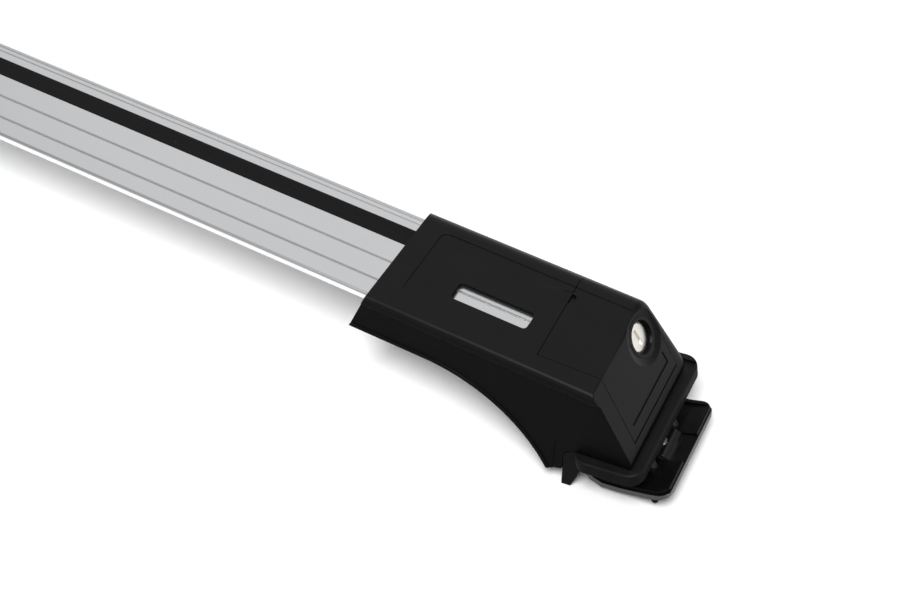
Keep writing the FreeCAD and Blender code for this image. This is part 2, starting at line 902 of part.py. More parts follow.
def scoop():
    """The ramp for a fingertip beside the cover's edge."""
    plan = [("scoop_start", "scoop_start_y"), ("scoop_end - headroom", "scoop_near")]
    plan += [("scoop_end", "scoop_near"), ("scoop_end", "scoop_far")]
    patch = prism("scoop_plan", "XY", plan, "-headroom", "headroom", TOP)
    ramp = [("scoop_start", "-panel_depth"), ("scoop_end", "-scoop_depth")]
    ramp += [("scoop_end", "headroom"), ("scoop_start", "headroom")]
    return common("scoop", patch, prism("scoop_ramp", "XZ", ramp, -FAR, FAR, TOP))


def shell_posts():
    """The two posts inside the housing that take its screws, and the rib behind the lock's tongue."""
    posts = []
    for side, (low, high) in {"near": ("-post_out", "-post_in"), "far": ("post_in", "post_out")}.items():
        across, upright = ("post_start", "post_end"), ("post_low", "post_top")
        room = section_block("post_room_" + side, "-wall / 2", False)
        posts.append(common("post_" + side, room, block("post_blank", across, (low, high), upright, SEAT)))
    down = ("lock_down - catch_half", "lock_down + catch_half")
    posts.append(block("catch_rib", down, ("catch_y", "catch_end"), ("catch_back", "catch_front"), FACE))
    return posts


def shell_screw_spots():
    """Where the four housing screws stand on the seat."""
    return [(x, y + "shell_screw_y") for x in ("shell_screw_in", "shell_screw_out") for y in ("", "-")]


def housing(form):
    corners, rounds = wing("hole_gap")
    throat = prism("bar_throat", "YZ", corners, -FAR, "inboard_wall", FOOT, rounds)
    band = common("recess", cover_band("recess_band", "cover_gap"),
                  cover_width("recess_width", "cover_gap", "cover_gap"))
    barrel = hinge_rod("hinge_room", "cover_plate / 2 + cover_gap",
                       HINGE_NEAR + " - cover_gap", "cover_far_low + cover_gap")
    pins = hinge_rod("hinge_holes", "hinge_pin + thread_gap",
                     HINGE_NEAR + " - hinge_pin_length - cover_gap",
                     "cover_far_low + hinge_pin_length + cover_gap")
    opening = opening_block("opening", "-ledge", "-ledge_far + cover_gap", "0")
    shell = cut("shell", form, hollow(), throat)
    posted = fuse("shell_posted", shell, *shell_posts())
    holes = []
    for x, y in shell_screw_spots():
        hole = cylinder("post_hole", "shell_screw + touch_gap", "Z", "post_low - wall",
                        "shell_screw_top + wall / 2", (x, y), SEAT)
        holes.append(hole)
    return cut("right_housing", posted, band, barrel, pins, opening, window(), scoop(), *holes)


# The end cover with its hinge, and the lock in it
def ear(name, radius, low, high, turn):
    """An ear on the lock's flange, reaching out from the lock's axis at one angle."""
    place = LOCK.multiply(frame(0, 0, 0, turn=turn))
    arm = block(name + "_arm", ("0", "ear_reach"), ("-" + radius, radius), (low, high), place)
    return [arm, cylinder(name + "_end", radius, "Z", low, high, ("ear_reach", 0), place)]


EAR_TURNS = ("0", "-ear_turn")


def ears(name, radius, low, high):
    """Both ears of the flange."""
    return [piece for turn in EAR_TURNS for piece in ear(name, radius, low, high, turn)]


def ear_rods(name, radius, low, high):
    """Round rods through both ears."""
    rods = []
    for turn in EAR_TURNS:
        place = LOCK.multiply(frame(0, 0, 0, turn=turn))
        rods.append(cylinder(name, radius, "Z", low, high, ("ear_reach", 0), place))
    return rods


def end_cover(form):
    plate = common("cover_plate", form, cover_band("cover_strip", "0"), cover_width("cover_side", "0", "0"))
    barrel = hinge_rod("hinge_barrel", "cover_plate / 2", HINGE_NEAR, "cover_far_low")
    pins = hinge_rod("hinge_pins", "hinge_pin", HINGE_NEAR + " - hinge_pin_length",
                     "cover_far_low + hinge_pin_length")
    disc = cylinder("boss_disc", "boss_round", "Z", "boss_face", "-cover_plate / 2", (0, 0), LOCK)
    boss = fuse("boss_raw", disc, *ears("boss_ear", "(ear_round + ear_margin)", "boss_face", "-cover_plate / 2"))
    inside = opening_block("boss_room", "-ledge - cover_gap", "-ledge_far", "cover_gap")
    body = fuse("cover_body", plate, barrel, pins, common("boss", boss, inside))
    hole = cylinder("lock_hole", "lock_hole", "Z", "2 * boss_face", "headroom", (0, 0), LOCK)
    screws = ear_rods("boss_screw_hole", "lock_screw + touch_gap", "2 * boss_face", "lock_screw_end + ledge_gap")
    across = ("-groove_near", "groove_far")
    deep = ("-groove_depth", "headroom")
    low = block("groove_low", ("groove_down", "groove_down + groove_width"), across, deep, FACE)
    up, side = ("groove_up", "groove_down"), ("groove_far - groove_width", "groove_far")
    turn = block("groove_turn", up, side, deep, FACE)
    corners = [("cover_start - wall", "notch_near"), ("notch_end", "notch_near")]
    corners += [("notch_end", "notch_far"), ("cover_start - wall", "notch_far")]
    rounds = {1: "notch_round", 2: "notch_round"}
    notch = prism("notch", "XY", corners, "notch_floor", "headroom", RAIL, rounds)
    return cut("right_end_cover", body, hole, low, turn, notch, *screws)


def lock_body():
    """The fixed barrel of the lock with its flange."""
    barrel = cylinder("lock_barrel", "lock_round", "Z", "lock_back", "boss_face", (0, 0), LOCK)
    flange = ears("flange_ear", "ear_round", "boss_face - flange_plate", "boss_face")
    bore = cylinder("lock_bore", "lock_bore", "Z", "lock_back - wall", "0", (0, 0), LOCK)
    holes = ear_rods("flange_hole", "lock_screw + pin_gap", "2 * boss_face", "0")
    return cut("right_lock_body", fuse("lock_blank", barrel, *flange), bore, *holes)


def lock_screws():
    """The two small screws that hold the lock's flange to the cover."""
    seat = "boss_face - flange_plate"
    heads = ear_rods("lock_screw_head", "lock_screw_head", seat + " - small_head", seat)
    shanks = ear_rods("lock_screw_shank", "lock_screw", seat, "lock_screw_end")
    screws = [fuse("lock_screw", *pair) for pair in zip(heads, shanks)]
    return group("right_lock_screws", *screws)


def square(name, flats, low, high):
    """A square peg on the lock's axis."""
    span = ("-(%s) / 2" % flats, "(%s) / 2" % flats)
    return block(name, span, span, (low, high), LOCK)


def lock_core():
    """The turning core: round face with a key slot, shank and square end."""
    head = cylinder("core_head", "core_head", "Z", "core_face - core_plate", "core_face", (0, 0), LOCK)
    shank = cylinder("core_shank", "core_round", "Z", "core_back", "core_face - core_plate / 2",
                     (0, 0), LOCK)
    peg = square("core_peg", "core_square", "core_back - tongue_plate", "core_back")
    slot = block("key_slot", ("-key_length / 2", "key_length / 2"), ("-key_width / 2", "key_width / 2"),
                 ("core_face - key_depth", "0"), LOCK)
    hole = cylinder("core_screw_hole", "tongue_screw + touch_gap", "Z", "core_back - tongue_plate",
                    "tongue_screw_end", (0, 0), LOCK)
    return cut("right_lock_core", fuse("core_blank", head, shank, peg), slot, hole)


def lock_tongue():
    """The flat lever that catches behind the housing's rib."""
    low, high = "core_back - tongue_plate", "core_back"
    reach = ("0", "tongue_reach - tongue_width / 2")
    arm = block("tongue_arm", reach, ("-tongue_width / 2", "tongue_width / 2"), (low, high), LOCK)
    tip = cylinder("tongue_tip", "tongue_width / 2", "Z", low, high, (reach[1], 0), LOCK)
    hub = cylinder("tongue_hub", "core_round - 2 * slip_gap", "Z", low, high, (0, 0), LOCK)
    hole = square("tongue_square", "core_square + 2 * touch_gap", "2 * core_back", "0")
    return cut("right_lock_tongue", fuse("tongue_blank", arm, tip, hub), hole)


def tongue_screw():
    """The screw that holds the tongue on the core's square end."""
    seat = "core_back - tongue_plate"
    head = cylinder("tongue_screw_head", "tongue_screw_head", "Z", seat + " - small_head", seat, (0, 0), LOCK)
    shank = cylinder("tongue_screw_shank", "tongue_screw", "Z", seat, "tongue_screw_end - wall",
                     (0, 0), LOCK)
    return fuse("right_tongue_screw", head, shank)


# The metal carriage that joins bar, rail boot, clamp bolt and housing
def bolt_rod(name, radius, low, high, y="0"):
    """A round rod along the clamping direction."""
    return cylinder(name, radius, "X", low, high, (y, 0), BOLT)


def guide_rods(name, radius, low, high):
    """The pair of round rods either side of the clamp bolt."""
    return [bolt_rod(name, radius, low, high, y) for y in ("pin_y", "-pin_y")]


def seat_rods(name, radius, low, high):
    """Four round rods where the housing screws stand."""
    return [cylinder(name, radius, "Z", low, high, place, SEAT) for place in shell_screw_spots()]


def bar_screw_rods(name, radius, low, high):
    """Two round rods where the bar screws stand."""
    return [cylinder(name, radius, "Z", low, high, (x, 0), FOOT) for x in ("bar_screw_in", "bar_screw_out")]


def carriage():
    across = ("-saddle_half", "saddle_half")
    saddle = block("saddle", ("saddle_start", "saddle_end"), across, ("saddle_low", "saddle_top"), FOOT)
    side = [
        ("web_start", "saddle_low"),
        ("web_start", "web_top"),
        ("web_bend", "web_top"),
        ("web_mid_x", "web_mid_z"),
        ("web_end", "web_end_top"),
        ("web_end", "web_end_low"),
        ("web_foot_x", "web_foot_z"),
        ("web_knee_x", "web_knee_z"),
    ]
    webs = [
        prism("web", "XZ", side, "web_in", "web_out", RAIL),
        prism("web", "XZ", side, "-web_out", "-web_in", RAIL),
    ]
    base = [("base_start", "0"), ("base_end", "0")]
    base += [("base_end_top", "base_plate"), ("base_start", "base_plate")]
    plate = prism("base", "XZ", base, "-base_half", "base_half", SEAT)
    out = ("boss_out_low", "boss_out_high")
    bosses = [
        block("bolt_boss", ("bolt_boss_top", "boss_low"), ("-bolt_boss_half", "bolt_boss_half"), out, FACE),
        block("guide_boss", ("guide_boss_top", "boss_low"), ("-guide_boss_half", "guide_boss_half"), out, FACE),
    ]
    leg = block("leg", ("leg_start", "leg_end"), ("-base_half", "base_half"), ("leg_low", "leg_top"), RAIL)
    holes = [bolt_rod("bolt_hole", "bolt_hole", 0, BEYOND)]
    holes += guide_rods("guide_bore", "pin_round + pin_gap", 0, BEYOND)
    holes += seat_rods("shell_screw_hole", "shell_screw + pin_gap", "-wall", "2 * base_plate")
    holes += seat_rods("shell_screw_sink", "shell_screw_head + pin_gap", "-wall", "shell_screw_seat")
    holes += bar_screw_rods("bar_screw_hole", "bar_screw + slip_gap", "2 * saddle_low", 0)
    blank = fuse("carriage_blank", saddle, plate, leg, *webs, *bosses)
    return cut("right_carriage", blank, *holes)


def rail_boot(metal):
    """The rubber boot that wraps the carriage's foot and stands on the rail."""
    plan = [("boot_start", "-boot_half"), ("boot_end", "-boot_half")]
    plan += [("boot_end", "boot_half"), ("boot_start", "boot_half")]
    rounds = {i: "boot_round" for i in range(4)}
    slab = prism("boot_slab", "XY", plan, "-boot_under", "boot_lip", SEAT, rounds, "boot_edge_round")
    side = [
        ("seat_x", "seat_z"),
        ("hook_start", "hook_tip"),
        ("hook_tip_x", "hook_tip + hook_tip_rise"),
        ("hook_low_x", "hook_low_z"),
        ("hook_mid_x", "hook_mid_z"),
        ("hook_root_x", "hook_root_z"),
        ("hook_root_x", "seat_z + (hook_root_x - seat_x) * tan(seat_rise)"),
    ]
    hook = prism("boot_hook", "XZ", side, "-hook_half", "hook_half", RAIL)
    tray = common("tray", section_block("tray_section", "slip_gap", True), end_block("tray_end", "slip_gap"))
    gutter = common("gutter", section_block("gutter_section", "gutter_side", True),
                    end_block("gutter_end", "gutter_end"),
                    block("gutter_room", ("boot_start", FAR), (-FAR, FAR), ("gutter_floor", FAR), SEAT))
    holes = [gutter, bolt_rod("boot_bolt_hole", "boot_bolt_hole", 0, BEYOND)]
    holes += guide_rods("boot_pin_hole", "boot_pin_hole", 0, BEYOND)
    for row in range(int(value("grip_count"))):
        x = "grip_start + %d * grip_pitch" % row
        grip = ("-boot_under - wall", "-boot_under + grip_depth")
        holes.append(block("grip", (x, x + " + grip_width"), ("-grip_half", "grip_half"), grip, SEAT))
    return cut("right_rail_boot", fuse("boot_blank", slab, hook), tray, metal, *holes)


# The clamp: bolt, washer, barrel nut, guide pins, jaw and pad
def clamp_bolt():
    head = bolt_rod("bolt_head", "bolt_head", "bolt_head_top", "bolt_head_low")
    shank = bolt_rod("bolt_shank", "bolt_round", "bolt_head_low", "bolt_end")
    half = "socket_flats / 2"
    point = "socket_flats / sqrt(3)"
    hexagon = [
        (half, point + " / 2"), ("0", point), ("-" + half, point + " / 2"),
        ("-" + half, "-%s / 2" % point), ("0", "-" + point), (half, "-%s / 2" % point),
    ]
    socket = prism("socket", "YZ", hexagon, 0, "bolt_head_top + socket_depth", BOLT)
    return cut("right_clamp_bolt", fuse("bolt_blank", head, shank), socket)


def bolt_washer():
    ring = bolt_rod("washer_ring", "washer_round", "bolt_head_low", "bolt_boss_top")
    return cut("right_bolt_washer", ring, bolt_rod("washer_hole", "bolt_round + slip_gap", 0, BEYOND))


def nut_axis(name, radius, half):
    """A round rod on the barrel nut's cross axis."""
    return cylinder(name, radius, "Y", "-" + half, half, ("nut_down", 0), BOLT)


def barrel_nut():
    hole = bolt_rod("nut_thread", "bolt_round + thread_gap", 0, BEYOND)
    return cut("right_barrel_nut", nut_axis("nut_barrel", "barrel_round", "barrel_half"), hole)


def guide_pins():
    return group("right_guide_pins", *guide_rods("guide_pin", "pin_round", "pin_top", "pin_end"))


def stud_rods(name, radius):
    """The four studs that hold the pad, where they pass through the jaw."""
    rods = []
    for x in ("stud_in", "stud_out"):
        for y in ("stud_y", "-stud_y"):
            rods.append(cylinder(name, radius, "Z", x + "_low", x + "_top", (x, y), RAIL))
    return rods


def clamp_jaw():
    """The plate under the rail, with the boss that holds the barrel nut."""
    side = [
        ("lip_x", "lip_low"), ("toe_x", "toe_low"), ("sole_x", "sole_low"), ("mid_x", "mid_low"),
        ("heel_x", "heel_low"), ("tail_x", "tail_low"), ("tail_top_x", "tail_top"), ("heel_x", "heel_top"),
        ("mid_x", "mid_top"), ("sole_x", "sole_top"), ("toe_top_x", "toe_top"), ("lip_top_x", "lip_top"),
    ]
    plate = prism("jaw_plate", "XZ", side, "-jaw_half", "jaw_half", RAIL)
    plan = [(0, "-jaw_half"), ("tail_x", "-jaw_half"), ("tail_x", "jaw_half"), (0, "jaw_half")]
    trim = prism("jaw_plan", "XY", plan, -2 * FAR, 0, RAIL, {1: "jaw_round", 2: "jaw_round"})
    boss = nut_axis("jaw_boss", "jaw_boss", "barrel_half")
    holes = [nut_axis("barrel_hole", "barrel_round + touch_gap", "barrel_half")]
    holes.append(bolt_rod("jaw_bolt_hole", "bolt_hole", 0, BEYOND))
    holes += guide_rods("jaw_pin_hole", "pin_round + touch_gap", 0, BEYOND)
    holes += stud_rods("jaw_stud_hole", "stud_round + touch_gap")
    return cut("right_clamp_jaw", fuse("jaw_blank", common("jaw_trimmed", plate, trim), boss), *holes)


def jaw_pad():
    """The rubber pad on the jaw, with a raised rim, a cut-out round the bolt and four studs below."""
    begin = "toe_top + (pad_start - toe_top_x) * (sole_top - toe_top) / (sole_x - toe_top_x)"
    end = "heel_top + (pad_end - heel_x) * (tail_top - heel_top) / (tail_top_x - heel_x)"
    low = [("pad_start", begin), ("sole_x", "sole_top"), ("mid_x", "mid_top")]
    low += [("heel_x", "heel_top"), ("pad_end", end)]
    leans = ("0", "0", "pad_lean", "pad_lean", "pad_lean")
    high = [("%s - %s" % (x, lean), z + " + pad_plate") for (x, z), lean in zip(low, leans)]
    half = "(jaw_half - pad_inset)"
    layer = prism("pad_sheet", "XZ", low + high[::-1], "-" + half, half, RAIL)
    plan = [(0, "-" + half), ("pad_end", "-" + half), ("pad_end", half), (0, half)]
    corner = "jaw_round - pad_inset"
    trim = prism("pad_plan", "XY", plan, -2 * FAR, 0, RAIL, {1: corner, 2: corner})
    inner = "(jaw_half - pad_inset - pad_rim)"
    floor = [("pad_start + pad_rim", "sole_top")] + low[1:4] + [("pad_end - pad_rim", end)]
    field = [(x, z + " + pad_plate - pad_rim_depth") for x, z in floor]
    field += [("pad_end - pad_rim", 0), ("pad_start + pad_rim", 0)]
    well = prism("pad_field", "XZ", field, "-" + inner, inner, RAIL)
    room = block("pad_cutout", ("nut_down - jaw_boss - slip_gap", "nut_down + jaw_boss + slip_gap"),
                 ("-barrel_half - slip_gap", "barrel_half + slip_gap"), (-FAR, FAR), BOLT)
    pins = guide_rods("pad_pin_hole", "pad_pin_hole", 0, BEYOND)
    body = cut("pad_body", common("pad_trimmed", layer, trim), well, room, *pins)
    return fuse("right_jaw_pad", body, *stud_rods("pad_stud", "stud_round"))


# Nut plate and screws
def nut_plate():
    plate = block("nut_blank", ("nut_start", "nut_end"), ("-nut_half", "nut_half"), ("nut_low", "nut_top"), FOOT)
    return cut("right_nut_plate", plate, *bar_screw_rods("nut_hole", "bar_screw + thread_gap", "2 * nut_low", 0))


def screw_pairs(name, heads, shanks):
    """Screws made of matching heads and shanks."""
    return group(name, *[fuse(name + "_one", *pair) for pair in zip(heads, shanks)])


def bar_screws():
    heads = bar_screw_rods("bar_screw_head", "bar_screw_head", "saddle_low - bar_screw_head_height", "saddle_low")
    shanks = bar_screw_rods("bar_screw_shank", "bar_screw", "saddle_low", "bar_screw_top")
    return screw_pairs("right_bar_screws", heads, shanks)


def housing_screws():
    heads = seat_rods("shell_screw_head", "shell_screw_head", "shell_screw_head_low", "shell_screw_seat")
    shanks = seat_rods("shell_screw_shank", "shell_screw", "shell_screw_seat", "shell_screw_top")
    return screw_pairs("right_housing_screws", heads, shanks)


def mirrored(piece, name):
    """The same piece for the other end of the bar."""
    other = doc.addObject("Part::Mirroring", name)
    other.Source = piece
    other.Base = FreeCAD.Vector(0, 0, 0)
    other.Normal = FreeCAD.Vector(1, 0, 0)
    return other


def right_foot():
    """Every piece of the right foot."""
    form = foot_form()
    metal = carriage()
    plug = bar_plug()
    plug.Label = "right_bar_plug"
    pieces = [housing(form), end_cover(form), lock_body(), lock_screws(), lock_core(), lock_tongue()]
    pieces += [tongue_screw(), metal, rail_boot(metal), clamp_jaw(), jaw_pad(), guide_pins(), clamp_bolt()]
    pieces += [bolt_washer(), barrel_nut(), plug, nut_plate(), bar_screws(), housing_screws()]
    return pieces


NODES = [crossbar(), slot_strip()]
for piece in right_foot():
    name = piece.Label
    NODES += [piece, mirrored(piece, name.replace("right_", "left_"))]
doc.recompute()

for item in doc.Objects:
    if "Invalid" in item.State or "Error" in item.State:
        raise ValueError("%s did not build: %s" % (item.Label, item.State))
os.makedirs("parts", exist_ok=True)
for node in NODES:
    if node.Shape.isNull() or not node.Shape.isValid() or not node.Shape.Solids:
        raise ValueError("%s has no valid solid" % node.Label)
    node.Shape.exportStep("parts/%s.step" % node.Label)
    box = node.Shape.BoundBox
    print("%-22s solids %d  volume %9.1f  x %7.1f %7.1f  y %6.1f %6.1f  z %6.1f %6.1f" % (
        node.Label, len(node.Shape.Solids), node.Shape.Volume,
        box.XMin, box.XMax, box.YMin, box.YMax, box.ZMin, box.ZMax))
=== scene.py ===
import json
import math

import bpy
from mathutils import Matrix, Vector


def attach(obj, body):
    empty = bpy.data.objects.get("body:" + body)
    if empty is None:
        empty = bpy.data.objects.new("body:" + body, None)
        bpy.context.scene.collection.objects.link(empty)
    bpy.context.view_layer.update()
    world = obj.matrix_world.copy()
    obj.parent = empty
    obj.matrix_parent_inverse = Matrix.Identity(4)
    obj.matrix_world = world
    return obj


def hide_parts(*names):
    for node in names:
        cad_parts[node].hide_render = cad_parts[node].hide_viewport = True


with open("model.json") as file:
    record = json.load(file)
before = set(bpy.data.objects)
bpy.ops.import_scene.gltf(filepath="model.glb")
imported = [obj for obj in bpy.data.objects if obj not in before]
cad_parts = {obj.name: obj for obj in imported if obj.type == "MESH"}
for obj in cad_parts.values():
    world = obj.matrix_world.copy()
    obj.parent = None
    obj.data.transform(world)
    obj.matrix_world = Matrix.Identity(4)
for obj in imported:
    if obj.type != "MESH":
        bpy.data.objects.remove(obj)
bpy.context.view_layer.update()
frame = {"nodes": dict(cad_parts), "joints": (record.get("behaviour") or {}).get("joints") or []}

# The bar: an aluminium wing extruded in one length with a slot and two grooves along its top and a
# clamping channel below. It is silver anodised, so faint die lines run its length under a satin
# sheen, and a sawn end goes into each foot.
BAR_LIGHT = (0.90, 0.905, 0.915, 1)
BAR_DARK = (0.82, 0.825, 0.84, 1)
BAR_ROUGH = (0.20, 0.30)
BAR_EDGE = 0.0005
DIE_LINES = (2.0, 1500.0, 1500.0)
DIE_LINE_HEIGHT = 0.000006
CLOUD_SCALE = 14.0
CLOUD_STRETCH = (0.3, 1, 1)
MIX_FACTOR, MIX_DARK, MIX_LIGHT, MIX_COLOUR = 0, 6, 7, 2
EDGE_SAMPLES = 4


def finish_of(name):
    """A new material, its shader and the coordinates that stay with the piece."""
    finish = bpy.data.materials.new(name)
    finish.use_nodes = True
    shader = finish.node_tree.nodes["Principled BSDF"]
    place = finish.node_tree.nodes.new("ShaderNodeTexCoord").outputs["Object"]
    return finish, shader, place


def put(finish, kind, sockets, **settings):
    """A node whose sockets are linked or set, and whose settings are given by name."""
    node = finish.node_tree.nodes.new(kind)
    for word, setting in settings.items():
        setattr(node, word, setting)
    for socket, given in sockets.items():
        if isinstance(given, bpy.types.NodeSocket):
            finish.node_tree.links.new(given, node.inputs[socket])
        else:
            node.inputs[socket].default_value = given
    return node


def grain(finish, place, scale, stretch=(1, 1, 1), detail=2.0):
    """Noise of so many grains to the metre, stretched along the axes."""
    mapped = put(finish, "ShaderNodeMapping", {"Vector": place, "Scale": stretch})
    sockets = {"Vector": mapped.outputs["Vector"], "Scale": scale, "Detail": detail}
    return put(finish, "ShaderNodeTexNoise", sockets).outputs["Fac"]


def between(finish, factor, dark, light):
    """A colour between two shades."""
    sockets = {MIX_FACTOR: factor, MIX_DARK: dark, MIX_LIGHT: light}
    return put(finish, "ShaderNodeMix", sockets, data_type="RGBA").outputs[MIX_COLOUR]


def shade(finish, shader, factor, dark, light):
    """Base colour between two shades."""
    finish.node_tree.links.new(between(finish, factor, dark, light), shader.inputs["Base Color"])


def polish(finish, shader, factor, rough):
    """Roughness between two values."""
    sockets = {"Value": factor, "To Min": rough[0], "To Max": rough[1]}
    spread = put(finish, "ShaderNodeMapRange", sockets)
    finish.node_tree.links.new(spread.outputs["Result"], shader.inputs["Roughness"])


def relief(finish, shader, layers, edge):
    """Bump layers, each a height field and its depth, over edges softened by a small radius."""
    softened = put(finish, "ShaderNodeBevel", {"Radius": edge}, samples=EDGE_SAMPLES)
    normal = softened.outputs["Normal"]
    for height, depth in layers:
        sockets = {"Height": height, "Distance": depth, "Strength": 1.0, "Normal": normal}
        normal = put(finish, "ShaderNodeBump", sockets).outputs["Normal"]
    finish.node_tree.links.new(normal, shader.inputs["Normal"])


def anodised_aluminium():
    """Satin silver with die lines along the bar and slow clouds in the sheen."""
    finish, shader, place = finish_of("anodised_aluminium")
    lines = grain(finish, place, 1.0, DIE_LINES)
    clouds = grain(finish, place, CLOUD_SCALE, CLOUD_STRETCH)
    shade(finish, shader, clouds, BAR_DARK, BAR_LIGHT)
    polish(finish, shader, lines, BAR_ROUGH)
    relief(finish, shader, [(lines, DIE_LINE_HEIGHT)], BAR_EDGE)
    shader.inputs["Metallic"].default_value = 1.0
    return finish


def dress(finish, *names):
    """Give CAD nodes a material."""
    for name in names:
        for spot in frame["nodes"][name].material_slots:
            spot.material = finish


dress(anodised_aluminium(), "crossbar")

# The slot strip: a black rubber extrusion pushed into the top slot, which it closes against wind
# noise. It is matt, with faint lines along its length and a little of the dust that rubber holds.
STRIP_BLACK = (0.004, 0.004, 0.0045, 1)
STRIP_WORN = (0.010, 0.010, 0.0105, 1)
STRIP_LINES = (6.0, 700.0, 700.0)
STRIP_LINE_HEIGHT = 0.00002
STRIP_SKIN_SCALE = 2600.0
STRIP_SKIN_HEIGHT = 0.00001
STRIP_ROUGH = (0.50, 0.68)
STRIP_EDGE = 0.0004
STRIP_SHEEN = 0.10
DUST = (0.030, 0.030, 0.029, 1)
DUST_SCALE = 420.0
DUST_SHARE = (0.84, 0.88)


def extruded_rubber():
    """Matt black with soft lines and a few pale specks."""
    finish, shader, place = finish_of("extruded_rubber")
    lines = grain(finish, place, 1.0, STRIP_LINES)
    skin = grain(finish, place, STRIP_SKIN_SCALE)
    specks = grain(finish, place, DUST_SCALE, detail=0.0)
    few = put(finish, "ShaderNodeMapRange", {
        "Value": specks, "From Min": DUST_SHARE[0], "From Max": DUST_SHARE[1]})
    black = between(finish, lines, STRIP_BLACK, STRIP_WORN)
    shade(finish, shader, few.outputs["Result"], black, DUST)
    polish(finish, shader, lines, STRIP_ROUGH)
    relief(finish, shader, [(lines, STRIP_LINE_HEIGHT), (skin, STRIP_SKIN_HEIGHT)], STRIP_EDGE)
    shader.inputs["Specular IOR Level"].default_value = STRIP_SHEEN
    return finish


dress(extruded_rubber(), "slot_strip")

# The bar plugs: a moulded black polyethylene plug closes each end of the bar inside the foot. It
# is waxy, and two prongs hold it in the bar's hollows.
SIDES = ("right", "left")
PLUG_BLACK = (0.012, 0.012, 0.012, 1)
PLUG_GREY = (0.020, 0.020, 0.020, 1)
PLUG_FLOW_SCALE = 60.0
PLUG_SKIN_SCALE = 1200.0
PLUG_SKIN_HEIGHT = 0.00001
PLUG_ROUGH = (0.36, 0.50)
PLUG_EDGE = 0.0004


def waxy_plastic():
    """Plain black polyethylene."""
    finish, shader, place = finish_of("waxy_plastic")
    flow = grain(finish, place, PLUG_FLOW_SCALE)
    skin = grain(finish, place, PLUG_SKIN_SCALE)
    shade(finish, shader, flow, PLUG_BLACK, PLUG_GREY)
    polish(finish, shader, flow, PLUG_ROUGH)
    relief(finish, shader, [(skin, PLUG_SKIN_HEIGHT)], PLUG_EDGE)
    return finish


plug_plastic = waxy_plastic()
for side in SIDES:
    dress(plug_plastic, side + "_bar_plug")

# The housings: a black glass-filled nylon shell over each foot, injection moulded in a spark-eroded
# tool, so its outside has a fine even texture with a low sheen. Four screws from below hold it to
# the carriage.
SHELL_BLACK = (0.0026, 0.0026, 0.0028, 1)
SHELL_GREY = (0.0052, 0.0052, 0.0055, 1)
SHELL_ROUGH = (0.35, 0.45)
SHELL_EDGE = 0.00035
SHELL_FLOW_SCALE = 35.0
SPARK_SCALE = 1900.0
SPARK_DEPTH = 0.00004
# Sheen of side walls and of upward faces: painted shade on the walls, painted highlight on the tops.
WALL_SHEEN = 0.015
CROWN_SHEEN = 0.20
CROWN_RISE = (0.12, 0.90)


def painted_sheen_by_facing(finish, shader, low, high):
    """Painted highlight and shade: more sheen on faces that look up, little on side walls."""
    facing = finish.node_tree.nodes.new("ShaderNodeNewGeometry").outputs["Normal"]
    upright = put(finish, "ShaderNodeSeparateXYZ", {"Vector": facing}).outputs["Z"]
    rise = put(finish, "ShaderNodeMapRange", {
        "Value": upright, "From Min": CROWN_RISE[0], "From Max": CROWN_RISE[1],
        "To Min": low, "To Max": high})
    finish.node_tree.links.new(rise.outputs["Result"], shader.inputs["Specular IOR Level"])


def textured_nylon(name, rough, spark_depth):
    """Black moulded nylon with a spark-eroded texture."""
    finish, shader, place = finish_of(name)
    spark = grain(finish, place, SPARK_SCALE, detail=3.0)
    flow = grain(finish, place, SHELL_FLOW_SCALE, detail=4.0)
    shade(finish, shader, flow, SHELL_BLACK, SHELL_GREY)
    polish(finish, shader, flow, rough)
    relief(finish, shader, [(spark, spark_depth)], SHELL_EDGE)
    # Painted highlight on upward faces and painted shade on side walls, set by which way each face
    # looks.
    painted_sheen_by_facing(finish, shader, WALL_SHEEN, CROWN_SHEEN)
    return finish


shell_plastic = textured_nylon("shell_nylon", SHELL_ROUGH, SPARK_DEPTH)
for side in SIDES:
    dress(shell_plastic, side + "_housing")

# The end covers: a hinged cover of the same black nylon over the bolt and lock of each foot, from
# its own tool with a slightly finer texture. Its hinge barrel and pins are moulded on and snap into
# the housing.
COVER_ROUGH = (0.33, 0.43)
COVER_SPARK_DEPTH = 0.000032

cover_plastic = textured_nylon("cover_nylon", COVER_ROUGH, COVER_SPARK_DEPTH)
for side in SIDES:
    dress(cover_plastic, side + "_end_cover")

# The locks: a die-cast zinc barrel is screwed behind each cover by two ears, and a nickel-plated
# core with a key slot turns in it. A sprung shutter closes the slot, and a flat steel tongue on the
# core's square end catches behind a rib of the housing.
NICKEL_LIGHT = (0.90, 0.87, 0.82, 1)
NICKEL_DARK = (0.78, 0.74, 0.68, 1)
NICKEL_ROUGH = (0.24, 0.42)
ZINC_LIGHT = (0.52, 0.52, 0.53, 1)
ZINC_DARK = (0.38, 0.38, 0.39, 1)
ZINC_ROUGH = (0.35, 0.55)
STEEL_LIGHT = (0.60, 0.60, 0.62, 1)
STEEL_DARK = (0.42, 0.42, 0.44, 1)
STEEL_ROUGH = (0.25, 0.40)
METAL_CLOUD_SCALE = 240.0
METAL_EDGE = 0.00025
SHUTTER_OUTLINE = ((-0.0052, -0.0003), (0.0052, -0.0003), (0.0052, 0.0010), (0.0024, 0.0010),
                   (0.0024, 0.0005), (-0.0014, 0.0005), (-0.0014, 0.0010), (-0.0052, 0.0010))
SHUTTER_HEIGHTS = (-0.0056, -0.0046)
ACROSS = Vector((0, 1, 0))


def plated_metal(name, dark, light, rough, pit_scale, pit_depth):
    """Plated or bare metal with fine pits and a clouded sheen."""
    finish, shader, place = finish_of(name)
    pits = grain(finish, place, pit_scale, detail=3.0)
    clouds = grain(finish, place, METAL_CLOUD_SCALE)
    shade(finish, shader, clouds, dark, light)
    polish(finish, shader, pits, rough)
    relief(finish, shader, [(pits, pit_depth)], METAL_EDGE)
    shader.inputs["Metallic"].default_value = 1.0
    return finish


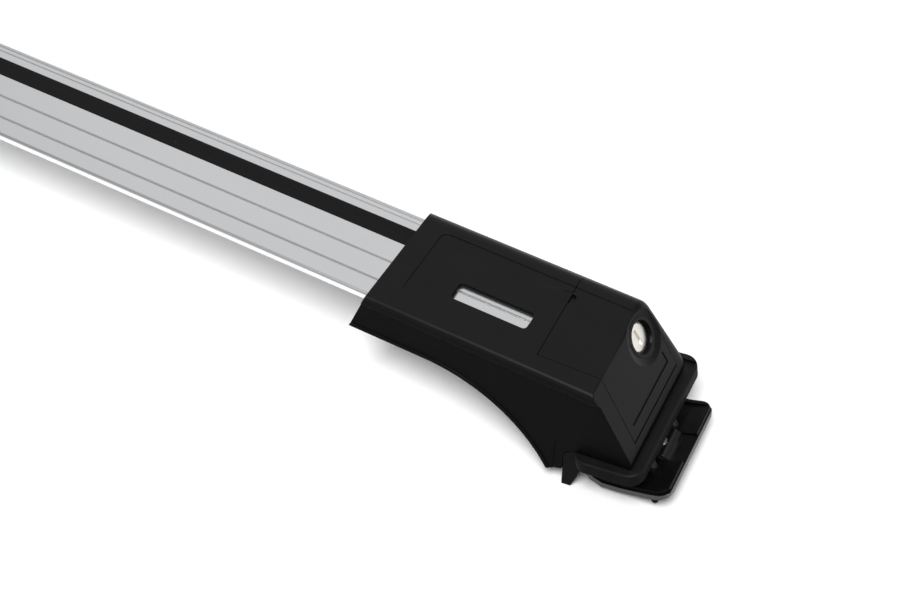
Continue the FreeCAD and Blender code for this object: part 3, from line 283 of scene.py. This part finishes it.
def joint_of(name):
    """A joint's point in the frame and its direction, taken upward."""
    joint = next(joint for joint in frame["joints"] if joint["name"] == name)
    upward = Vector(joint["axis"]).normalized()
    return Vector(joint["pos_m"]), upward if upward.z > 0 else -upward


def standing_on(point, upward, aside):
    """A frame at a point, its third axis upward and its second nearest to aside."""
    first = aside.cross(upward).normalized()
    second = upward.cross(first)
    turn = Matrix((first, second, upward)).transposed().to_4x4()
    return Matrix.Translation(point) @ turn


def piece_from(name, points, faces, place, finish, body):
    """A mesh piece put in its place, which rides a body."""
    mesh = bpy.data.meshes.new(name)
    mesh.from_pydata([place @ Vector(point) for point in points], [], faces)
    mesh.materials.append(finish)
    piece = bpy.data.objects.new(name, mesh)
    bpy.context.scene.collection.objects.link(piece)
    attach(piece, body)
    return piece


def shutter_mesh():
    """The points and faces of the shutter, a flat plate with a notch for the key's blade."""
    count = len(SHUTTER_OUTLINE)
    points = [(x, y, z) for z in SHUTTER_HEIGHTS for x, y in SHUTTER_OUTLINE]
    faces = [tuple(range(count, 2 * count)), tuple(reversed(range(count)))]
    faces += [(i, (i + 1) % count, (i + 1) % count + count, i + count) for i in range(count)]
    return points, faces


nickel = plated_metal("nickel_plate", NICKEL_DARK, NICKEL_LIGHT, NICKEL_ROUGH,
                      pit_scale=2200.0, pit_depth=0.00002)
zinc = plated_metal("die_cast_zinc", ZINC_DARK, ZINC_LIGHT, ZINC_ROUGH,
                    pit_scale=1400.0, pit_depth=0.00002)
screw_steel = plated_metal("zinc_plated_steel", STEEL_DARK, STEEL_LIGHT, STEEL_ROUGH,
                           pit_scale=900.0, pit_depth=0.000008)
points, faces = shutter_mesh()
for side in SIDES:
    dress(nickel, side + "_lock_core")
    dress(zinc, side + "_lock_body", side + "_lock_tongue")
    dress(screw_steel, side + "_lock_screws", side + "_tongue_screw")
    middle, outward = joint_of(side + "_lock_turn")
    place = standing_on(middle, outward, ACROSS)
    piece_from(side + "_lock_shutter", points, faces, place, nickel, side + "_lock")

# The carriages: a die-cast aluminium carriage in each foot joins bar, boot, clamp bolt and housing.
# Its black powder coat rounds every edge and leaves a fine orange-peel surface.
POWDER_BLACK = (0.012, 0.012, 0.013, 1)
POWDER_GREY = (0.020, 0.020, 0.021, 1)
POWDER_ROUGH = (0.30, 0.42)
POWDER_CLOUD_SCALE = 90.0
PEEL_SCALE = 700.0
PEEL_HEIGHT = 0.00003
PEEL_EDGE = 0.0005


def powder_coat(name, dark, light, rough):
    """Black coat with orange peel."""
    finish, shader, place = finish_of(name)
    peel = grain(finish, place, PEEL_SCALE, detail=1.0)
    shade(finish, shader, grain(finish, place, POWDER_CLOUD_SCALE), dark, light)
    polish(finish, shader, peel, rough)
    relief(finish, shader, [(peel, PEEL_HEIGHT)], PEEL_EDGE)
    return finish


carriage_coat = powder_coat("black_powder_coat", POWDER_BLACK, POWDER_GREY, POWDER_ROUGH)
for side in SIDES:
    dress(carriage_coat, side + "_carriage")
    dress(screw_steel, side + "_nut_plate", side + "_bar_screws", side + "_housing_screws")

# The rail boots: a moulded black rubber boot wraps each carriage's foot and stands on the rail.
# Its lip shows below the housing, with a satin skin from the mould and a little bloom.
BOOT_BLACK = (0.0035, 0.0035, 0.0035, 1)
BOOT_BLOOM = (0.0075, 0.0075, 0.0078, 1)
BOOT_ROUGH = (0.42, 0.56)
BOOT_SHEEN = 0.18
BLOOM_SCALE = 110.0
MOULD_SKIN_SCALE = 1500.0
MOULD_SKIN_HEIGHT = 0.00002
MOULD_EDGE = 0.0006


def moulded_rubber(name, dark, bloom, rough):
    """Black moulded rubber with a faint bloom."""
    finish, shader, place = finish_of(name)
    cloud = grain(finish, place, BLOOM_SCALE, detail=5.0)
    skin = grain(finish, place, MOULD_SKIN_SCALE)
    shade(finish, shader, cloud, dark, bloom)
    polish(finish, shader, cloud, rough)
    relief(finish, shader, [(skin, MOULD_SKIN_HEIGHT)], MOULD_EDGE)
    # Painted highlight on upward faces and painted shade on side walls, set by which way each face
    # looks.
    painted_sheen_by_facing(finish, shader, WALL_SHEEN, BOOT_SHEEN)
    return finish


boot_rubber = moulded_rubber("boot_rubber", BOOT_BLACK, BOOT_BLOOM, BOOT_ROUGH)
for side in SIDES:
    dress(boot_rubber, side + "_rail_boot")

# The clamps: a pressed steel jaw, dipped in glossy black, hangs under each boot on two guide pins, a
# barrel nut and a socket-head bolt with a rolled thread. A moulded rubber pad lies in the jaw. The
# bolt, washer, nut and pins are zinc-plated steel.
DIP_BLACK = (0.005, 0.005, 0.005, 1)
DIP_GREY = (0.009, 0.009, 0.009, 1)
DIP_ROUGH = (0.16, 0.26)
PAD_BLACK = (0.002, 0.002, 0.002, 1)
PAD_ROUGH = (0.30, 0.44)
HEAD_RADIUS = 0.0065
HEAD_START = 0.0164
HEAD_END = 0.0244
HEAD_BEVEL = 0.0005
KNURL_DEPTH = 0.00014
KNURLS = 48
SOCKET_FLATS = 0.006
SOCKET_DEPTH = 0.0042
SOCKET_POINT_DEPTH = 0.0052
SHANK_RADIUS = 0.004
SHANK_END = 0.0995
THREAD_START = 0.052
THREAD_PITCH = 0.00125
THREAD_DEPTH = 0.00068
THREAD_STEPS = 6


def socket_radius(angle):
    """How far the hexagon of the socket reaches at an angle."""
    sixth = math.pi / 3
    return SOCKET_FLATS / 2 / math.cos(angle % sixth - sixth / 2)


def bevel_radius(angle):
    """The head where its bevels end."""
    return HEAD_RADIUS - HEAD_BEVEL - KNURL_DEPTH


def knurl_radius(angle):
    """The head's side, with a groove at every other step."""
    return HEAD_RADIUS - KNURL_DEPTH * (round(angle * KNURLS / math.tau) % 2)


def shank_radius(angle):
    """The plain shank."""
    return SHANK_RADIUS


def thread_rule(depth, height, tip):
    """The radius of a rolled thread round the bolt at one depth."""
    def radius(angle):
        phase = (depth / THREAD_PITCH + angle / math.tau) % 1.0
        return SHANK_RADIUS - tip - max(0.0, height - tip) * abs(2 * phase - 1)
    return radius


def bolt_rings():
    """Rings of the bolt from the socket's floor round the head to the tip: depth and radius rule."""
    rings = [(HEAD_START + SOCKET_DEPTH, socket_radius), (HEAD_START, socket_radius),
             (HEAD_START, bevel_radius), (HEAD_START + HEAD_BEVEL, knurl_radius),
             (HEAD_END - HEAD_BEVEL, knurl_radius), (HEAD_END, bevel_radius),
             (HEAD_END, shank_radius), (THREAD_START, shank_radius)]
    step = THREAD_PITCH / THREAD_STEPS
    for row in range(1, int((SHANK_END - THREAD_START) / step)):
        depth = THREAD_START + row * step
        fade = min(1.0, (depth - THREAD_START) / THREAD_PITCH, (SHANK_END - depth) / THREAD_PITCH)
        tip = max(0.0, 1 - (SHANK_END - depth) / THREAD_PITCH) * THREAD_DEPTH
        rings.append((depth, thread_rule(depth, fade * THREAD_DEPTH, tip)))
    rings.append((SHANK_END, lambda angle: SHANK_RADIUS - THREAD_DEPTH))
    return rings


def bolt_mesh():
    """The points and faces of the bolt, its axis along the third axis."""
    rings = bolt_rings()
    points = [(0, 0, HEAD_START + SOCKET_POINT_DEPTH), (0, 0, SHANK_END)]
    for depth, rule in rings:
        for number in range(KNURLS):
            angle = number * math.tau / KNURLS
            points.append((rule(angle) * math.cos(angle), rule(angle) * math.sin(angle), depth))
    starts = [2 + ring * KNURLS for ring in range(len(rings))]
    faces = []
    for number in range(KNURLS):
        after = (number + 1) % KNURLS
        faces.append((0, starts[0] + after, starts[0] + number))
        for low, high in zip(starts, starts[1:]):
            faces.append((low + number, low + after, high + after, high + number))
        faces.append((starts[-1] + number, starts[-1] + after, 1))
    return points, faces


jaw_coat = powder_coat("black_dip", DIP_BLACK, DIP_GREY, DIP_ROUGH)
pad_rubber = moulded_rubber("pad_rubber", PAD_BLACK, BOOT_BLACK, PAD_ROUGH)
points, faces = bolt_mesh()
for side in SIDES:
    dress(jaw_coat, side + "_clamp_jaw")
    dress(pad_rubber, side + "_jaw_pad")
    dress(screw_steel, side + "_bolt_washer", side + "_barrel_nut", side + "_guide_pins")
    middle, upward = joint_of(side + "_bolt_turn")
    place = standing_on(middle, -upward, ACROSS)
    bolt = piece_from(side + "_turned_bolt", points, faces, place, screw_steel,
                      side + "_bolt")
    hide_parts(side + "_clamp_bolt")

# The floor and light: a plain white floor in a pale room with a soft lamp overhead, a little to
# the camera's side and to its left. The room is palest at the horizon and greyer above, with a
# pale card behind the bar.
FLOOR_HALF = 30.0
FLOOR_WHITE = (0.96, 0.96, 0.96, 1)
FLOOR_ROUGH = 0.9
LAMP_LIGHT = 3.1
LAMP_SPREAD = 22.0
LAMP_AZIMUTH = 12.0
LAMP_FALL = 64.0
ROOM_HIGH = 0.25
ROOM_LOW = 0.60
ROOM_BEND = 0.5
CARD_TOWARDS = Vector((-0.315, 0.56, 0.766))
CARD_EDGE = 0.80
CARD_CORE = 0.96
CARD_LIGHT = 0.42


def looking(azimuth, fall):
    """The way towards an azimuth that falls below the level, both in degrees."""
    turned, sunk = math.radians(azimuth), math.radians(fall)
    level = Vector((-math.sin(turned), math.cos(turned), 0))
    return level * math.cos(sunk) - Vector((0, 0, 1)) * math.sin(sunk)


def aimed(name, thing, way):
    """A lamp or camera that points along a way."""
    stand = bpy.data.objects.new(name, thing)
    stand.rotation_mode = "QUATERNION"
    stand.rotation_quaternion = way.to_track_quat("-Z", "Y")
    bpy.context.scene.collection.objects.link(stand)
    return stand


corners = [(x * FLOOR_HALF, y * FLOOR_HALF, 0) for x, y in ((-1, -1), (1, -1), (1, 1), (-1, 1))]
mesh = bpy.data.meshes.new("floor")
mesh.from_pydata(corners, [], [(0, 1, 2, 3)])
floor = bpy.data.objects.new("floor", mesh)
bpy.context.scene.collection.objects.link(floor)
paint, shader, place = finish_of("floor_paint")
shader.inputs["Base Color"].default_value = FLOOR_WHITE
shader.inputs["Roughness"].default_value = FLOOR_ROUGH
shader.inputs["Specular IOR Level"].default_value = 0.0
mesh.materials.append(paint)

room = bpy.data.worlds.new("room")
bpy.context.scene.world = room
room.use_nodes = True
ways = room.node_tree.nodes.new("ShaderNodeTexCoord").outputs["Generated"]
height = put(room, "ShaderNodeSeparateXYZ", {"Vector": ways})
level = put(room, "ShaderNodeMapRange", {
    "Value": height.outputs["Z"], "From Min": 0.0, "From Max": ROOM_BEND,
    "To Min": ROOM_LOW, "To Max": ROOM_HIGH})
facing = put(room, "ShaderNodeVectorMath", {0: ways, 1: CARD_TOWARDS}, operation="DOT_PRODUCT")
card = put(room, "ShaderNodeMapRange", {
    "Value": facing.outputs["Value"], "From Min": CARD_EDGE, "From Max": CARD_CORE,
    "To Max": CARD_LIGHT})
glow = put(room, "ShaderNodeMath", {0: level.outputs["Result"], 1: card.outputs["Result"]},
           operation="ADD")
background = room.node_tree.nodes["Background"]
room.node_tree.links.new(glow.outputs["Value"], background.inputs["Color"])

lamp = bpy.data.lights.new("lamp", "SUN")
lamp.energy = LAMP_LIGHT
lamp.angle = math.radians(LAMP_SPREAD)
aimed("lamp", lamp, looking(LAMP_AZIMUTH, LAMP_FALL))

# The camera: it stands at the photograph's place, above the right foot, and looks down along the
# bar.
CAMERA_PLACE = Vector((0.764, -0.5825, 0.862))
CAMERA_AZIMUTH = 29.33
CAMERA_FALL = 50.0
CAMERA_LENS = 66.8
CAMERA_SENSOR = 36.0

lens = bpy.data.cameras.new("camera")
lens.lens = CAMERA_LENS
lens.sensor_width = CAMERA_SENSOR
camera = aimed("camera", lens, looking(CAMERA_AZIMUTH, CAMERA_FALL))
camera.location = CAMERA_PLACE
bpy.context.scene.camera = camera
bpy.context.scene.view_settings.view_transform = "Standard"
